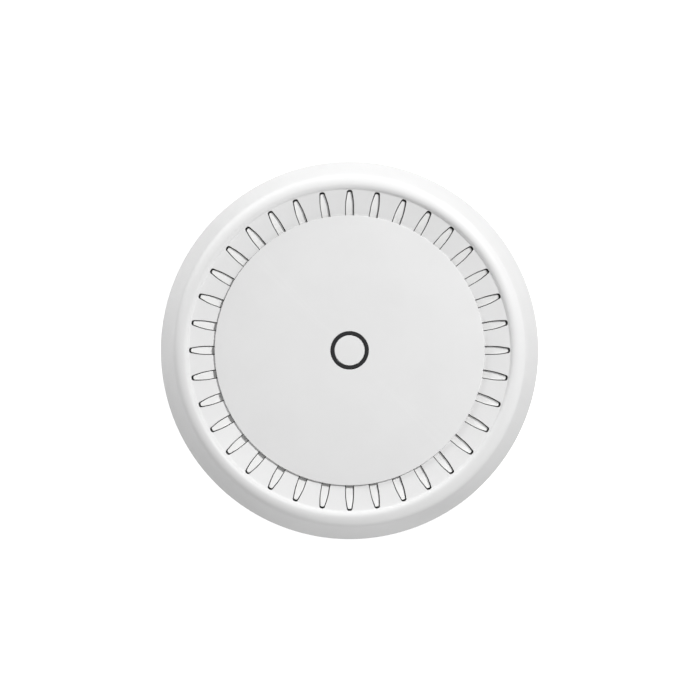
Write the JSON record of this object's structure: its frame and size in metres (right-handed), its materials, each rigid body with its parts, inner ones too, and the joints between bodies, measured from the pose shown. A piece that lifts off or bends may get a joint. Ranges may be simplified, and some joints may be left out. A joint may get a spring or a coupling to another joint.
{
  "type": "ceiling wireless access point",
  "caption": "Round ceiling wireless access point with a vented rim around a raised disc, a status-light ring with a mode button, a twist-lock mounting ring, and the board and jacks inside.",
  "frame": {"origin": "centre of the mounting ring's back face, in the plane of the ceiling", "axes": "+Z from the ceiling towards the room, out of the face that people see; the cable trench leaves along -Y; +X completes the right-handed frame"},
  "size_m": [0.191, 0.191, 0.043],
  "materials": {
    "white_housing": "fine moulded texture, satin",
    "white_ring": "fine moulded texture",
    "smoked_ring": "smooth, smoked and translucent",
    "clear_guide": "smooth, frosted clear",
    "dark_plastic": "moulded",
    "circuit_board": "green solder mask",
    "steel_screw": "zinc plated",
    "tinned_steel": "rolled and tin plated",
    "spreader_metal": "machined and tumbled",
    "gold_contact": "gold plated",
    "chip_black": "moulded epoxy",
    "ferrite_grey": "moulded",
    "capacitor_can": "drawn can",
    "ceramic_tan": "ceramic with tinned ends",
    "lamp_white": "clear resin",
    "thermal_pad": "soft silicone",
    "lead_jacket": "extruded fluoropolymer jacket",
    "label_film": "blank printed film"
  },
  "bodies": {
    "mount": {"mounting_ring": "white_ring"},
    "unit": {"antenna_2ghz_a": "tinned_steel", "antenna_2ghz_a_lead": "lead_jacket", "antenna_2ghz_b": "tinned_steel", "antenna_2ghz_b_lead": "lead_jacket", "antenna_5ghz_a": "tinned_steel", "antenna_5ghz_a_lead": "lead_jacket", "antenna_5ghz_b": "tinned_steel", "antenna_5ghz_b_lead": "lead_jacket", "antenna_brackets": "dark_plastic", "base_shell": "white_housing", "board_screws": "steel_screw", "bulk_capacitors": "capacitor_can", "case_screws": "steel_screw", "chip_capacitors": "ceramic_tan", "coax_plugs": "gold_contact", "coax_sockets": "gold_contact", "crystals": "tinned_steel", "ethernet_jack_1_contacts": "gold_contact", "ethernet_jack_1_insert": "chip_black", "ethernet_jack_1_shield": "tinned_steel", "ethernet_jack_2_contacts": "gold_contact", "ethernet_jack_2_insert": "chip_black", "ethernet_jack_2_shield": "tinned_steel", "face_disc": "white_housing", "front_cover": "white_housing", "heat_spreader": "spreader_metal", "lan_transformers": "chip_black", "light_guide": "clear_guide", "light_ring": "smoked_ring", "main_board": "circuit_board", "memory_chips": "chip_black", "mode_switch_body": "dark_plastic", "power_inductors": "ferrite_grey", "power_regulators": "chip_black", "processor": "chip_black", "processor_shield": "tinned_steel", "radio_chips": "chip_black", "radio_shield_2ghz": "tinned_steel", "radio_shield_5ghz": "tinned_steel", "rating_label": "label_film", "reset_switch_body": "dark_plastic", "spreader_screws": "steel_screw", "spreader_standoffs": "gold_contact", "status_leds": "lamp_white", "thermal_pads": "thermal_pad", "vent_baffle": "white_housing"},
    "mode_button": {"mode_button": "white_housing", "mode_switch_plunger": "dark_plastic"},
    "reset_button": {"reset_button": "dark_plastic", "reset_switch_plunger": "dark_plastic"}
  },
  "joints": [
    {"name": "twist_lock", "type": "hinge", "parent": "mount", "child": "unit", "pos_m": [0, 0, 0], "axis": [0, 0, 1], "range_deg": [0, 22]},
    {"name": "mode_press", "type": "slide", "parent": "unit", "child": "mode_button", "axis": [0, 0, -1], "range_m": [0, 0.0005], "stiffness_N_per_m": 2000, "springref_m": -0.0005},
    {"name": "reset_press", "type": "slide", "parent": "unit", "child": "reset_button", "axis": [0, 1, 0], "range_m": [0, 0.0004], "stiffness_N_per_m": 2000, "springref_m": -0.0004}
  ]
}
